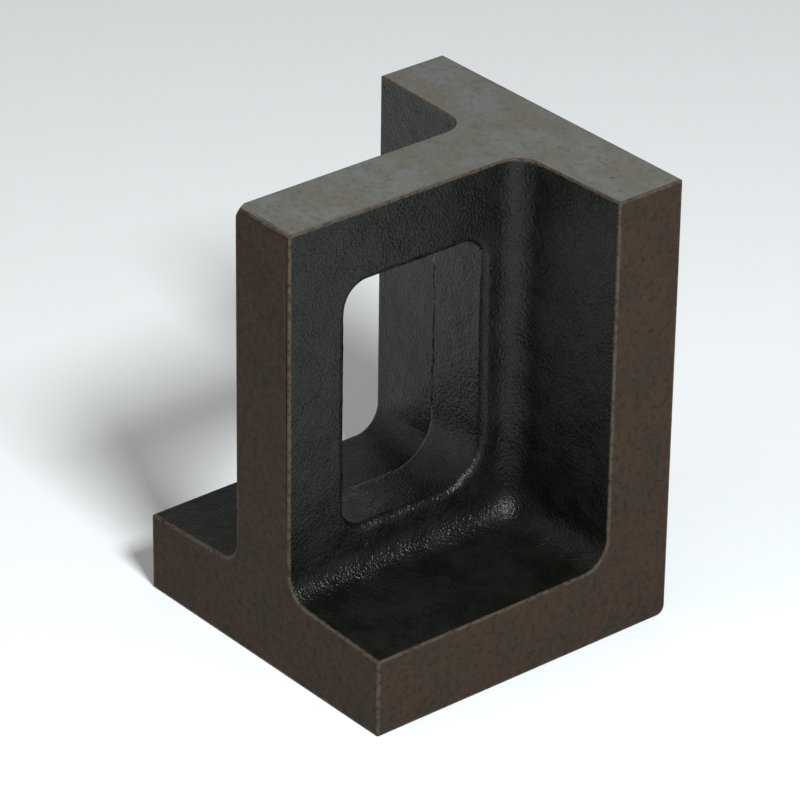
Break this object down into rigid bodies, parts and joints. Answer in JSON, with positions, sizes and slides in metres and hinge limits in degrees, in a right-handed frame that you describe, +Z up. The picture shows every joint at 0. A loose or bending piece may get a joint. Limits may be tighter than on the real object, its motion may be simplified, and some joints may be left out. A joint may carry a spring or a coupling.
{
  "type": "angle plate",
  "caption": "L-shaped iron angle plate for workholding: thick base and upright wall joined by a central web with a rounded window, drafted pockets and flat machined outer planes.",
  "frame": {"origin": "on the base's underside, at the middle of its footprint", "axes": "+X along the wall, from side plane to side plane; +Y from the web's front end to the wall's back; +Z up the wall"},
  "size_m": [0.074, 0.0766, 0.1],
  "materials": {
    "cast_iron": "outer planes machined and darkened with age, pockets and window as cast and painted black, oiled"
  },
  "bodies": {
    "root": {"angle_plate": "cast_iron"}
  },
  "joints": []
}
